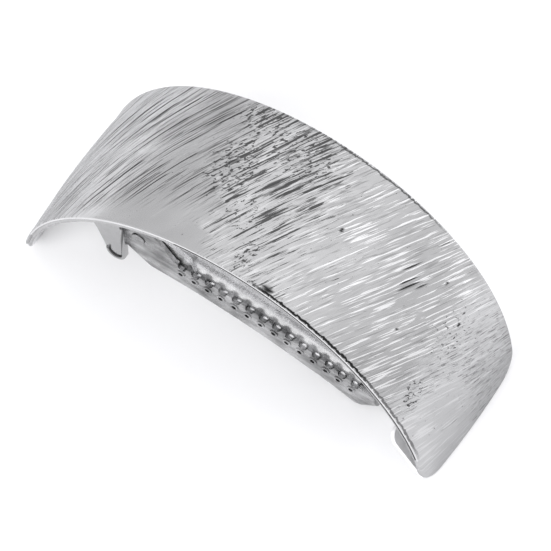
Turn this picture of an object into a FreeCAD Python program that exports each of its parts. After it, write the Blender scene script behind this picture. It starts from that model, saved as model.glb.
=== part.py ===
import FreeCAD, Part
import math
import os
from FreeCAD import Vector

# A sprung alligator hair clip under an arched metal cuff. Millimetres, +Z up.
# The cuff stands on its two end edges at z = 0. +X runs along the arch towards the jaw's
# tip, and the origin lies on the table under the middle of the cuff.

# Cuff: a sheet bent round the Y axis and slightly crowned across its width.
CUFF_RADIUS = 37.5
CUFF_HALF_ANGLE = 87.0
CUFF_THICKNESS = 1.1
CUFF_CROWN_RADIUS = 150.0
CUFF_HALF_WIDTH_TOP = 14.15
CUFF_HALF_WIDTH_END = 13.05
CUFF_HALF_WIDTH_MIDDLE = 13.72
CUFF_CORNER_RADIUS = 4.5
CUFF_CENTRE_Z = -CUFF_RADIUS * math.cos(math.radians(CUFF_HALF_ANGLE))
CUFF_HEIGHT = CUFF_RADIUS + CUFF_CENTRE_Z
CUFF_EDGE_ROUNDING = 0.3

# Jaws: both follow one long arc whose highest point is above JAW_TOP_X.
SHEET = 0.7
JAW_RADIUS = 112.0
JAW_TOP_X = -14.4
JAW_TOP_Z = 5.9
JAW_CENTRE_Z = JAW_TOP_Z - JAW_RADIUS
JAW_HALF_WIDTH = 7.0

# Lower jaw, toothed along both walls. Heights are above the underside of its floor.
TOOTH_COUNT = 14
TOOTH_TIP_HEIGHT = 6.2
TOOTH_CORNER_RADIUS = 0.4
GULLET_HEIGHT = 5.0
GULLET_RADIUS = 0.7
FIRST_GULLET_X = -11.8
LAST_GULLET_X = 20.05
EYELET_HEIGHT = 3.9
EYELET_HOLE_RADIUS = 0.4
EYELET_RIM_RADIUS = 0.75
EYELET_PROUD = 0.15
NOSE_START_X = 20.8
NOSE_TIP = (24.3, 3.3)
JAW_FRONT_X = 23.3
EAR_FOOT_X = -13.2
EAR_RADIUS = 4.2
LEVER_BEND_X = -17.6
LEVER_END_X = -30.2
LEVER_SLOPE = 30.0
LEVER_FLANGE_TOP_Z = 15.6
LEVER_CORNER_RADIUS = 3.5
BEND_RADIUS = 2.5
WALL_BEND_RADIUS = 1.05

# Hinge.
PIVOT_X = -19.8
PIVOT_Z = 13.0
PIN_RADIUS = 0.9
HINGE_CLEARANCE = 0.05
PIN_HEAD_RADIUS = 1.2
PIN_HEAD_HEIGHT = 0.22
PIN_HEAD_ROUNDING = 0.15

# Finger tabs, one on the outside of each wall of the lever.
TAB_RIGHT_X = -21.4
TAB_TOP_Z = 15.2
TAB_TIP_RADIUS = 1.8
TAB_TIP_Z = 6.45
TAB_SHOULDER = (-26.8, 10.4)
TAB_HEEL = (-28.0, 12.2)
TAB_LIP_RADIUS = 0.35

# Upper jaw: an inverted channel that lies between the teeth.
UPPER_HALF_WIDTH = 6.0
UPPER_BEND_RADIUS = 2.1
UPPER_FOOT_HEIGHT = 1.9
UPPER_TOP_HEIGHT = 5.2
UPPER_REAR_X = -11.0
UPPER_FRONT_X = 19.5
UPPER_EAR_RADIUS = 3.0
UPPER_EAR_REAR_X = -24.3
UPPER_EAR_REAR_LIFT = 0.6
# Corners of the ear's neck, as (x, z) offsets from the foot of the channel's rear end.
UPPER_NECK_TOP = [(-0.2, 5.4), (1.2, 2.4), (2.2, 0.0)]
UPPER_NECK_UNDER = [(-3.8, 0.05)]
TONGUE_HALF_WIDTH = 3.5
TONGUE_BEND_X = 20.8
TONGUE_OVERLAP = 2.0

# Anchor plate inside the cuff's front end, and the strut at the rear.
ANCHOR_TOP = (30.0, 9.2)
ANCHOR_SLOPE = 48.5
ANCHOR_LENGTH = 9.6
ANCHOR_HALF_WIDTH = 12.5
ANCHOR_THICKNESS = 0.8
ANCHOR_CORNER_RADIUS = 2.0
STRUT_THICKNESS = 0.8
STRUT_HALF_WIDTH = UPPER_HALF_WIDTH - SHEET
STRUT_SHELF_Z = 15.1
STRUT_SHELF_FRONT_X = -20.9
STRUT_FOOT_ANGLES = (-41.0, -30.0)

# Solder beads: rods of metal with the neighbouring pieces cut out of them.
REAR_SOLDER_RADIUS = 0.7
FRONT_SOLDER_RADIUS = 0.9
FRONT_SOLDER_HALF_LENGTH = 10.0
TONGUE_SOLDER_RADIUS = 0.8
SOLDER_END_GAP = 0.4

# Torsion spring round the pin.
WIRE_RADIUS = 0.35
WIRE_BEND_RADIUS = 1.03 * WIRE_RADIUS
WIRE_GAP = 0.02
COIL_RADIUS = 1.75
COIL_TURNS = 4.5
COIL_PITCH = 0.78
SPRING_LEVER_END_X = -27.6
SPRING_SHELF_END_X = -23.2

Y_AXIS = Vector(0, 1, 0)


def point(x, z, y=0.0):
    return Vector(x, y, z)


def jaw_point(height, x):
    radius = JAW_RADIUS + height
    return point(x, JAW_CENTRE_Z + math.sqrt(radius ** 2 - (x - JAW_TOP_X) ** 2))


def jaw_angle(height, x):
    return math.degrees(math.asin((x - JAW_TOP_X) / (JAW_RADIUS + height)))


def jaw_arc(height, x_from, x_to):
    middle = (x_from + x_to) / 2
    ends = [jaw_point(height, x) for x in (x_from, middle, x_to)]
    return Part.Arc(*ends).toShape()


def line(start, end):
    return Part.LineSegment(start, end).toShape()


def plate(edges, y_from, y_to):
    """Extrude a closed outline drawn in the XZ plane from y_from to y_to."""
    face = Part.Face(Part.Wire(edges))
    face.translate(Vector(0, y_from, 0))
    return face.extrude(Vector(0, y_to - y_from, 0))


def polygon_plate(corners, y_from, y_to):
    corners = [point(x, z) for x, z in corners]
    edges = [line(a, b) for a, b in zip(corners, corners[1:] + corners[:1])]
    return plate(edges, y_from, y_to)


def rod(radius, x, z, half_length):
    return Part.makeCylinder(radius, 2 * half_length, point(x, z, -half_length), Y_AXIS)


def ring_sector(profile, centre_z, centre_x, angle_from, angle_to):
    """Turn a (y, radius) outline about a Y axis, angles measured from +Z towards +X."""
    corners = [point(centre_x, centre_z + radius, y) for y, radius in profile]
    face = Part.Face(Part.makePolygon(corners + corners[:1]))
    centre = point(centre_x, centre_z)
    face.rotate(centre, Y_AXIS, angle_from)
    return face.revolve(centre, Y_AXIS, angle_to - angle_from)


def round_edges(shape, radius, wanted):
    return shape.makeFillet(radius, [edge for edge in shape.Edges if wanted(edge)])


def mirrored(shape):
    return shape.mirror(Vector(0, 0, 0), Y_AXIS)


def make_cuff():
    reach = CUFF_HALF_WIDTH_TOP + 2
    base = CUFF_CENTRE_Z + CUFF_RADIUS - CUFF_CROWN_RADIUS

    def crown_arc(depth, side):
        radius = CUFF_CROWN_RADIUS - depth
        return [Vector(0, y, base + math.sqrt(radius ** 2 - y ** 2)) for y in (-side, 0, side)]

    outer = crown_arc(0, reach)
    inner = crown_arc(CUFF_THICKNESS, -reach)
    edges = [
        Part.Arc(*outer).toShape(),
        line(outer[2], inner[0]),
        Part.Arc(*inner).toShape(),
        line(inner[2], outer[0]),
    ]
    section = Part.Face(Part.Wire(edges))
    centre = point(0, CUFF_CENTRE_Z)
    sweep = CUFF_HALF_ANGLE + 8
    section.rotate(centre, Y_AXIS, -sweep)
    band = section.revolve(centre, Y_AXIS, 2 * sweep)
    cuff = band.common(cuff_outline())

    def long_edge(edge):
        box = edge.BoundBox
        return box.XLength > CUFF_RADIUS and box.ZLength > CUFF_RADIUS / 2

    return round_edges(cuff, CUFF_EDGE_ROUNDING, long_edge)


def cuff_outline():
    """The cuff's outline seen along X: nearly straight sides and two rounded lower corners."""
    inset = CUFF_CORNER_RADIUS * (1 - math.sqrt(0.5))
    end = CUFF_HALF_WIDTH_END
    corner = CUFF_CORNER_RADIUS
    top = CUFF_HEIGHT + 1

    def side_edges(sign):
        low = Vector(0, sign * (end - corner), 0)
        bend = Vector(0, sign * (end - inset), inset)
        high = Vector(0, sign * end, corner)
        middle = Vector(0, sign * CUFF_HALF_WIDTH_MIDDLE, CUFF_HEIGHT / 2)
        crest = Vector(0, sign * CUFF_HALF_WIDTH_TOP, top)
        edges = [Part.Arc(low, bend, high).toShape(), Part.Arc(high, middle, crest).toShape()]
        return low, crest, edges

    near_low, near_crest, near = side_edges(-1)
    far_low, far_crest, far = side_edges(1)
    edges = near + far + [line(near_low, far_low), line(near_crest, far_crest)]
    block = Part.Face(Part.Wire(Part.__sortEdges__(edges))).extrude(Vector(2 * CUFF_RADIUS + 10, 0, 0))
    block.translate(Vector(-CUFF_RADIUS - 5, 0, 0))
    return block


def nose_direction():
    start = jaw_point(0, NOSE_START_X)
    return (point(*NOSE_TIP) - start).normalize()


def nose_corner(height):
    """Where the nose's slope, raised by a sheet, meets the jaw's arc at a height."""
    direction = nose_direction()
    normal = Vector(-direction.z, 0, direction.x)
    start = jaw_point(0, NOSE_START_X) + normal * height - point(JAW_TOP_X, JAW_CENTRE_Z)
    half = start.dot(direction)
    excess = start.dot(start) - (JAW_RADIUS + height) ** 2
    root = math.sqrt(half ** 2 - excess)
    travel = min(-half - root, -half + root, key=abs)
    return start + direction * travel + point(JAW_TOP_X, JAW_CENTRE_Z)


def lever_z(x, height):
    slope = math.radians(LEVER_SLOPE)
    return JAW_TOP_Z + height / math.cos(slope) + (LEVER_BEND_X - x) * math.tan(slope)


def tangent_point(centre, radius, outside, side):
    """Where a line from an outside point touches a circle."""
    offset = outside - centre
    turn = math.acos(radius / offset.Length) * side
    angle = math.atan2(offset.z, offset.x) + turn
    return centre + point(radius * math.cos(angle), radius * math.sin(angle))


def nose_z(x, height):
    start = jaw_point(0, NOSE_START_X)
    direction = nose_direction()
    return start.z + (x - start.x) * direction.z / direction.x + height / direction.x


def along_floor(edge, height, half_width):
    """Whether an edge runs along the foot of a wall, at a height above the floor's underside."""
    box = edge.BoundBox
    if box.YLength > 0.01 or abs(abs(box.YMin) - half_width) > 0.01:
        return False
    middle = edge.valueAt((edge.FirstParameter + edge.LastParameter) / 2)
    if middle.x < LEVER_BEND_X:
        floor_z = lever_z(middle.x, height)
    elif middle.x > NOSE_TIP[0]:
        return False
    elif middle.x > NOSE_START_X:
        floor_z = nose_z(middle.x, height)
    else:
        floor_z = jaw_point(height, middle.x).z
    return middle.z < floor_z + 0.1


def lower_jaw_block():
    """The lower jaw's side outline, as a solid block of its full width."""
    pivot = point(PIVOT_X, PIVOT_Z)
    nose = nose_corner(0)
    ear_foot = jaw_point(TOOTH_TIP_HEIGHT, EAR_FOOT_X)
    front = jaw_point(TOOTH_TIP_HEIGHT, JAW_FRONT_X)
    lever_top = point(LEVER_END_X, LEVER_FLANGE_TOP_Z)
    lever_low = point(LEVER_END_X, lever_z(LEVER_END_X, 0))
    bend = point(LEVER_BEND_X, JAW_TOP_Z)
    crest = point(JAW_TOP_X, JAW_TOP_Z)
    ear_front = tangent_point(pivot, EAR_RADIUS, ear_foot, 1)
    ear_rear = tangent_point(pivot, EAR_RADIUS, lever_top, -1)
    ear_top = pivot + point(0, EAR_RADIUS)
    edges = [
        line(lever_low, bend),
        line(bend, crest),
        jaw_arc(0, JAW_TOP_X, nose.x),
        line(nose, point(*NOSE_TIP)),
        line(point(*NOSE_TIP), front),
        jaw_arc(TOOTH_TIP_HEIGHT, JAW_FRONT_X, EAR_FOOT_X),
        line(ear_foot, ear_front),
        Part.Arc(ear_front, ear_top, ear_rear).toShape(),
        line(ear_rear, lever_top),
        line(lever_top, lever_low),
    ]
    block = plate(edges, -JAW_HALF_WIDTH, JAW_HALF_WIDTH)

    def floor_bend(edge):
        box = edge.BoundBox
        across = box.YLength > JAW_HALF_WIDTH and box.XLength < 0.01 and box.ZLength < 0.01
        at_bend = abs(box.XMin - bend.x) < 0.01 and abs(box.ZMin - bend.z) < 0.01
        at_nose = abs(box.XMin - nose.x) < 0.01 and abs(box.ZMin - nose.z) < 0.01
        return across and (at_bend or at_nose)

    def lever_corner(edge):
        box = edge.BoundBox
        return abs(box.XMax - LEVER_END_X) < 0.01 and box.YLength < 0.01

    block = round_edges(block, BEND_RADIUS, floor_bend)
    block = round_edges(block, LEVER_CORNER_RADIUS, lever_corner)
    return round_edges(block, WALL_BEND_RADIUS, lambda edge: along_floor(edge, 0, JAW_HALF_WIDTH))


def lower_jaw_hollow():
    """What is taken out of the block to leave a floor and two walls one sheet thick."""
    nose = nose_corner(SHEET)
    above = CUFF_HEIGHT
    exit_nose = nose + nose_direction() * above
    slope = math.radians(LEVER_SLOPE)
    floor_z = JAW_TOP_Z + SHEET
    bend = point(LEVER_BEND_X - (floor_z - lever_z(LEVER_BEND_X, SHEET)) / math.tan(slope), floor_z)
    rear = point(LEVER_END_X - 5, lever_z(LEVER_END_X - 5, SHEET))
    crest = point(JAW_TOP_X, floor_z)
    edges = [
        line(rear, bend),
        line(bend, crest),
        jaw_arc(SHEET, JAW_TOP_X, nose.x),
        line(nose, exit_nose),
        line(exit_nose, point(rear.x, exit_nose.z)),
        line(point(rear.x, exit_nose.z), rear),
    ]
    inside = JAW_HALF_WIDTH - SHEET
    hollow = plate(edges, -inside, inside)
    return round_edges(hollow, WALL_BEND_RADIUS - SHEET, lambda edge: along_floor(edge, SHEET, inside))


def gullet_angles():
    height = GULLET_HEIGHT + GULLET_RADIUS
    first = jaw_angle(height, FIRST_GULLET_X)
    last = jaw_angle(height, LAST_GULLET_X)
    return [first + (last - first) * i / (TOOTH_COUNT - 1) for i in range(TOOTH_COUNT)]


def gullet_cutter():
    """A gullet upright at x = 0, heights above z = 0: a round-bottomed slot with a flared mouth."""
    side = GULLET_RADIUS
    low = GULLET_HEIGHT + GULLET_RADIUS
    corner = TOOTH_CORNER_RADIUS
    high = TOOTH_TIP_HEIGHT - corner
    inset = corner * (1 - math.sqrt(0.5))
    mouth = side + corner
    edges = [Part.Arc(point(-side, low), point(0, GULLET_HEIGHT), point(side, low)).toShape()]
    for sign in (-1, 1):
        waist = point(sign * side, high)
        bend = point(sign * (side + inset), TOOTH_TIP_HEIGHT - inset)
        lip = point(sign * mouth, TOOTH_TIP_HEIGHT)
        edges.append(line(point(sign * side, low), waist))
        edges.append(Part.Arc(waist, bend, lip).toShape())
        edges.append(line(lip, point(sign * mouth, 2 * TOOTH_TIP_HEIGHT)))
    edges.append(line(point(-mouth, 2 * TOOTH_TIP_HEIGHT), point(mouth, 2 * TOOTH_TIP_HEIGHT)))
    return plate(Part.__sortEdges__(edges), -2 * JAW_HALF_WIDTH, 2 * JAW_HALF_WIDTH)


def make_lower_jaw():
    jaw = lower_jaw_block().cut(lower_jaw_hollow())
    gullets = []
    rims = []
    holes = []
    reach = JAW_HALF_WIDTH + EYELET_PROUD
    centre = point(JAW_TOP_X, JAW_CENTRE_Z)
    for angle in gullet_angles():
        gullet = gullet_cutter()
        gullet.translate(point(JAW_TOP_X, JAW_CENTRE_Z + JAW_RADIUS))
        gullet.rotate(centre, Y_AXIS, angle)
        gullets.append(gullet)
        direction = point(math.sin(math.radians(angle)), math.cos(math.radians(angle)))
        eyelet = centre + direction * (JAW_RADIUS + EYELET_HEIGHT)
        rim = rod(EYELET_RIM_RADIUS, eyelet.x, eyelet.z, reach)
        rims.append(rim.cut(rod(2 * EYELET_RIM_RADIUS, eyelet.x, eyelet.z, JAW_HALF_WIDTH - SHEET / 2)))
        holes.append(rod(EYELET_HOLE_RADIUS, eyelet.x, eyelet.z, 2 * JAW_HALF_WIDTH))
    pin_hole = rod(PIN_RADIUS + HINGE_CLEARANCE, PIVOT_X, PIVOT_Z, 2 * JAW_HALF_WIDTH)
    return jaw.cut(gullets).fuse(rims).cut(holes + [pin_hole]).removeSplitter()


def make_finger_tab():
    """The near tab: a plate on the wall's outside with a rolled lip round its free edges."""
    tip = point(TAB_RIGHT_X - TAB_TIP_RADIUS, TAB_TIP_Z)
    right = tip + point(TAB_TIP_RADIUS, 0)
    left = tip - point(TAB_TIP_RADIUS, 0)
    lowest = tip - point(0, TAB_TIP_RADIUS)
    shoulder = point(*TAB_SHOULDER)
    top_right = point(TAB_RIGHT_X - SHEET, TAB_TOP_Z)
    top_left = point(TAB_HEEL[0], TAB_TOP_Z)
    edges = [
        line(top_right, right),
        Part.Arc(right, lowest, left).toShape(),
        line(left, shoulder),
        line(shoulder, point(*TAB_HEEL)),
        line(point(*TAB_HEEL), top_left),
        line(top_left, top_right),
    ]
    outside = -JAW_HALF_WIDTH - SHEET
    tab = plate(edges, outside, -JAW_HALF_WIDTH)
    return tab.fuse(tab_lip(tip, top_right, outside)).removeSplitter()


def tab_lip(tip, top_right, y):
    """A round bead along the tab's tip and up its front edge."""
    inset = TAB_LIP_RADIUS
    sweep_radius = TAB_TIP_RADIUS - inset
    start = tip + point(-sweep_radius, 0, y)
    lowest = tip + point(0, -sweep_radius, y)
    turn = tip + point(sweep_radius, 0, y)
    run = top_right + point(-inset, -inset) - tip - point(sweep_radius, 0)
    end = turn + run
    bend = Part.Arc(start, lowest, turn).toShape()
    profile = Part.Wire(Part.makeCircle(TAB_LIP_RADIUS, start, Vector(0, 0, 1)))
    return Part.Wire([bend, line(turn, end)]).makePipeShell([profile], True, False, 2)


def upper_channel():
    """The upper jaw's roof and two walls, with the bends between them rounded."""
    outside = UPPER_HALF_WIDTH
    inside = outside - SHEET
    top = JAW_RADIUS + UPPER_TOP_HEIGHT
    foot = JAW_RADIUS + UPPER_FOOT_HEIGHT
    right = [(outside, top), (outside, foot), (inside, foot), (inside, top - SHEET)]
    section = right + [(-y, radius) for y, radius in reversed(right)]
    rear = jaw_angle(UPPER_FOOT_HEIGHT, UPPER_REAR_X)
    front = jaw_angle(UPPER_FOOT_HEIGHT, UPPER_FRONT_X)
    channel = ring_sector(section, JAW_CENTRE_Z, JAW_TOP_X, rear, front)
    ridge = top + JAW_CENTRE_Z

    def bend(half_width, height):
        def wanted(edge):
            box = edge.BoundBox
            return box.YLength < 0.01 and box.XLength > BEND_RADIUS \
                and abs(abs(box.YMin) - half_width) < 0.01 and abs(box.ZMax - height) < 0.5
        return wanted

    channel = round_edges(channel, UPPER_BEND_RADIUS, bend(outside, ridge))
    return round_edges(channel, UPPER_BEND_RADIUS - SHEET, bend(inside, ridge - SHEET))


def make_upper_jaw():
    upper = upper_channel().fuse([upper_ear(), mirrored(upper_ear())] + tongue())
    pin_hole = rod(PIN_RADIUS + HINGE_CLEARANCE, PIVOT_X, PIVOT_Z, 2 * JAW_HALF_WIDTH)
    return upper.cut(pin_hole).removeSplitter()


def upper_ear():
    """The near ear: a side plate from the channel's rear end back over the hinge."""
    foot = jaw_point(UPPER_FOOT_HEIGHT, UPPER_REAR_X)
    arm = [(PIVOT_X, PIVOT_Z + UPPER_EAR_RADIUS)]
    arm += [(foot.x + x, foot.z + z) for x, z in UPPER_NECK_TOP + UPPER_NECK_UNDER]
    arm.append((PIVOT_X, PIVOT_Z - UPPER_EAR_RADIUS))
    rear = [
        (UPPER_EAR_REAR_X, PIVOT_Z + UPPER_EAR_RADIUS),
        (PIVOT_X, PIVOT_Z + UPPER_EAR_RADIUS),
        (PIVOT_X, PIVOT_Z),
        (UPPER_EAR_REAR_X, PIVOT_Z + UPPER_EAR_REAR_LIFT),
    ]
    y_from = -UPPER_HALF_WIDTH
    y_to = y_from + SHEET
    boss = Part.makeCylinder(UPPER_EAR_RADIUS, SHEET, point(PIVOT_X, PIVOT_Z, y_from), Y_AXIS)
    return boss.fuse([polygon_plate(arm, y_from, y_to), polygon_plate(rear, y_from, y_to)])


def tongue():
    """The strip that runs on from the channel's roof, over the lower jaw's nose, to the anchor."""
    section = [
        (-TONGUE_HALF_WIDTH, JAW_RADIUS + UPPER_TOP_HEIGHT),
        (TONGUE_HALF_WIDTH, JAW_RADIUS + UPPER_TOP_HEIGHT),
        (TONGUE_HALF_WIDTH, JAW_RADIUS + UPPER_TOP_HEIGHT - SHEET),
        (-TONGUE_HALF_WIDTH, JAW_RADIUS + UPPER_TOP_HEIGHT - SHEET),
    ]
    start = jaw_angle(UPPER_TOP_HEIGHT, UPPER_FRONT_X - TONGUE_OVERLAP)
    end = jaw_angle(UPPER_TOP_HEIGHT, TONGUE_BEND_X)
    curved = ring_sector(section, JAW_CENTRE_Z, JAW_TOP_X, start, end)
    upper_z = jaw_point(UPPER_TOP_HEIGHT, TONGUE_BEND_X).z
    lower_z = upper_z - SHEET
    under_bend = jaw_point(UPPER_TOP_HEIGHT - SHEET, TONGUE_BEND_X - 0.5)
    corners = [
        (TONGUE_BEND_X, upper_z),
        (anchor_inner_x(upper_z), upper_z),
        (anchor_inner_x(lower_z), lower_z),
        (TONGUE_BEND_X, lower_z),
        (under_bend.x, under_bend.z),
        (under_bend.x, under_bend.z + SHEET),
    ]
    return [curved, polygon_plate(corners, -TONGUE_HALF_WIDTH, TONGUE_HALF_WIDTH)]


def anchor_directions():
    slope = math.radians(ANCHOR_SLOPE)
    along = point(math.cos(slope), -math.sin(slope))
    inward = point(-math.sin(slope), -math.cos(slope))
    return along, inward


def anchor_inner_x(z):
    along, inward = anchor_directions()
    start = point(*ANCHOR_TOP) + inward * ANCHOR_THICKNESS
    return start.x + (z - start.z) / along.z * along.x


def make_anchor_plate(cuff):
    along, inward = anchor_directions()
    top = point(*ANCHOR_TOP)
    corners = [top, top + along * ANCHOR_LENGTH]
    corners += [corner + inward * ANCHOR_THICKNESS for corner in reversed(corners)]
    anchor = polygon_plate([(c.x, c.z) for c in corners], -ANCHOR_HALF_WIDTH, ANCHOR_HALF_WIDTH)

    def top_corner(edge):
        box = edge.BoundBox
        return box.YLength < 0.01 and edge.Length < 1.01 * ANCHOR_THICKNESS and box.ZMax > top.z - 0.01

    return round_edges(anchor, ANCHOR_CORNER_RADIUS, top_corner).cut(cuff)


def make_rear_strut(cuff):
    rear = UPPER_EAR_REAR_X
    half = STRUT_HALF_WIDTH
    shelf = Part.makeBox(
        STRUT_SHELF_FRONT_X - rear, 2 * half, STRUT_THICKNESS, point(rear, STRUT_SHELF_Z, -half)
    )
    inner_radius = CUFF_RADIUS - CUFF_THICKNESS
    post_top = CUFF_CENTRE_Z + math.sqrt(inner_radius ** 2 - rear ** 2) + CUFF_THICKNESS / 2
    post = Part.makeBox(
        STRUT_THICKNESS, 2 * half, post_top - STRUT_SHELF_Z, point(rear, STRUT_SHELF_Z, -half)
    )
    foot_low = inner_radius - STRUT_THICKNESS
    foot_section = [
        (-half, foot_low),
        (half, foot_low),
        (half, inner_radius + CUFF_THICKNESS / 2),
        (-half, inner_radius + CUFF_THICKNESS / 2),
    ]
    foot = ring_sector(foot_section, CUFF_CENTRE_Z, 0, *STRUT_FOOT_ANGLES)
    return shelf.fuse([post, foot]).cut(cuff).removeSplitter()


def solder_bead(radius, x, z, half_length, neighbours):
    """What is left of a rod of metal once its neighbours are cut out of it."""
    bead = rod(radius, x, z, half_length)
    for neighbour in neighbours:
        bead = bead.cut(neighbour)
    return max(bead.Solids, key=lambda solid: solid.Volume)


def on_cuff_inside(angle, depth):
    radius = CUFF_RADIUS - CUFF_THICKNESS - depth
    turn = math.radians(angle)
    return radius * math.sin(turn), CUFF_CENTRE_Z + radius * math.cos(turn)


def make_rear_solder(cuff, strut):
    """One bead along the foot's front edge and one up the back of the post."""
    radius = REAR_SOLDER_RADIUS
    front_x, front_z = on_cuff_inside(STRUT_FOOT_ANGLES[1] + 0.3, 0.2)
    post_z = CUFF_CENTRE_Z + math.sqrt((CUFF_RADIUS - CUFF_THICKNESS) ** 2 - UPPER_EAR_REAR_X ** 2)
    length = STRUT_HALF_WIDTH - SOLDER_END_GAP
    front = solder_bead(radius, front_x, front_z, length, [cuff, strut])
    rear = solder_bead(radius, UPPER_EAR_REAR_X - 0.1, post_z - 0.3, length, [cuff, strut])
    return Part.makeCompound([front, rear])


def make_front_solder(cuff, anchor):
    along, inward = anchor_directions()
    foot = point(*ANCHOR_TOP) + along * ANCHOR_LENGTH + inward * ANCHOR_THICKNESS
    return solder_bead(FRONT_SOLDER_RADIUS, foot.x, foot.z, FRONT_SOLDER_HALF_LENGTH, [cuff, anchor])


def make_tongue_solder(upper, anchor):
    top_z = jaw_point(UPPER_TOP_HEIGHT, TONGUE_BEND_X).z
    x = anchor_inner_x(top_z) - 0.1
    length = TONGUE_HALF_WIDTH - SOLDER_END_GAP
    return solder_bead(TONGUE_SOLDER_RADIUS, x, top_z + 0.1, length, [upper, anchor])


def make_hinge_pin():
    seat = JAW_HALF_WIDTH + HINGE_CLEARANCE
    tip = seat + PIN_HEAD_HEIGHT
    head = Part.makeCylinder(PIN_HEAD_RADIUS, PIN_HEAD_HEIGHT, point(PIVOT_X, PIVOT_Z, seat), Y_AXIS)

    def outer_rim(edge):
        return edge.BoundBox.YMin > tip - 0.01

    head = round_edges(head, PIN_HEAD_ROUNDING, outer_rim)
    return rod(PIN_RADIUS, PIVOT_X, PIVOT_Z, seat).fuse([head, mirrored(head)]).removeSplitter()


def spring_leg(corners, y):
    """A leg of wire in a plane of constant y, a touch fuller where it starts and bends."""
    corners = [point(x, z, y) for x, z in corners]
    balls = [Part.makeSphere(WIRE_BEND_RADIUS, corner) for corner in corners[:-1]]
    runs = []
    for start, end in zip(corners, corners[1:]):
        run = end - start
        runs.append(Part.makeCylinder(WIRE_RADIUS, run.Length, start, run))
    return runs[0].fuse(runs[1:] + balls)


def make_coil(length):
    """The coil round the pin, starting under it on the far side and ending above it."""
    climb = math.atan(COIL_PITCH / (2 * math.pi * COIL_RADIUS))
    tangent = Vector(0, math.cos(climb), math.sin(climb))
    profile = Part.Wire(Part.makeCircle(WIRE_RADIUS, Vector(COIL_RADIUS, 0, 0), tangent))
    helix = Part.Wire(Part.makeHelix(COIL_PITCH, length, COIL_RADIUS))
    coil = helix.makePipeShell([profile], True, True)
    coil.rotate(Vector(0, 0, 0), Vector(0, 0, 1), -90)
    coil.rotate(Vector(0, 0, 0), Vector(1, 0, 0), 90)
    coil.translate(point(PIVOT_X, PIVOT_Z, length / 2))
    return coil


def make_hinge_spring():
    length = COIL_TURNS * COIL_PITCH
    slope = math.radians(LEVER_SLOPE)
    lift = WIRE_BEND_RADIUS / math.cos(slope) + WIRE_GAP
    low_z = PIVOT_Z - COIL_RADIUS
    bend_x = LEVER_BEND_X - (low_z - lift - lever_z(LEVER_BEND_X, SHEET)) / math.tan(slope)
    end_z = lever_z(SPRING_LEVER_END_X, SHEET) + lift
    lever_leg = [(PIVOT_X, low_z), (bend_x, low_z), (SPRING_LEVER_END_X, end_z)]
    shelf_z = PIVOT_Z + COIL_RADIUS
    shelf_leg = [(PIVOT_X, shelf_z), (SPRING_SHELF_END_X, shelf_z)]
    spring = make_coil(length).fuse(spring_leg(lever_leg, length / 2))
    return spring.fuse(spring_leg(shelf_leg, -length / 2))


def make_parts():
    cuff = make_cuff()
    upper = make_upper_jaw()
    anchor = make_anchor_plate(cuff)
    strut = make_rear_strut(cuff)
    near_tab = make_finger_tab()
    return {
        "cuff_plate": cuff,
        "upper_jaw": upper,
        "front_anchor_plate": anchor,
        "rear_strut": strut,
        "lower_jaw": make_lower_jaw(),
        "near_finger_tab": near_tab,
        "far_finger_tab": mirrored(near_tab),
        "hinge_pin": make_hinge_pin(),
        "hinge_spring": make_hinge_spring(),
        "front_solder": make_front_solder(cuff, anchor),
        "rear_solder": make_rear_solder(cuff, strut),
        "tongue_solder": make_tongue_solder(upper, anchor),
    }


os.makedirs("parts", exist_ok=True)
for name, shape in make_parts().items():
    box = shape.BoundBox
    print("%-20s solids %d valid %s volume %8.2f  x %6.2f %6.2f  y %6.2f %6.2f  z %6.2f %6.2f" % (
        name, len(shape.Solids), shape.isValid(), shape.Volume,
        box.XMin, box.XMax, box.YMin, box.YMax, box.ZMin, box.ZMax))
    shape.exportStep("parts/%s.step" % name)
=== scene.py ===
from collections import namedtuple
import math

import bpy
import numpy as np
from mathutils import Matrix, Vector


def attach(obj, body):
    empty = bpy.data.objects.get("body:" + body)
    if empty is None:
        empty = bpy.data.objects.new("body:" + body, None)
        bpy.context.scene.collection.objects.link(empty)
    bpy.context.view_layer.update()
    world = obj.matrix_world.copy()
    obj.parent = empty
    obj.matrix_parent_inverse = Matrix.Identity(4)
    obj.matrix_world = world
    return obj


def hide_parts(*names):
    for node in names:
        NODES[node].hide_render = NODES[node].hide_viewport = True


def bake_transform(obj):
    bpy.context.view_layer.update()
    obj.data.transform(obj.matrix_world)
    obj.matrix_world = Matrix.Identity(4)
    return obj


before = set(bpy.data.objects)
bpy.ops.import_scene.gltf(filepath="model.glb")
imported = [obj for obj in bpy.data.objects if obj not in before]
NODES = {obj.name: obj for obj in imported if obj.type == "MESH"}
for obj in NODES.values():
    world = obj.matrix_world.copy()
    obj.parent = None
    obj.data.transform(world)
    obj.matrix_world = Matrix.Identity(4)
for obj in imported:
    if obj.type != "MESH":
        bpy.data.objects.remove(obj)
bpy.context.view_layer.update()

MM = 0.001
rng = np.random.default_rng(11)

# ---------------------------------------------------------------- camera
# The view is from above the near side, with the arch running to the lower right.
PICTURE_WIDTH = 84.05 * MM
SENSOR = 36.0
CAMERA_DISTANCE = 2.2
LOOK_AT = Vector((5.68, -8.56, 30.10)) * MM
RIGHT = Vector((0.84037, 0.54097, 0.03356))
BACK = Vector((0.22817, -0.40926, 0.88343))


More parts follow.
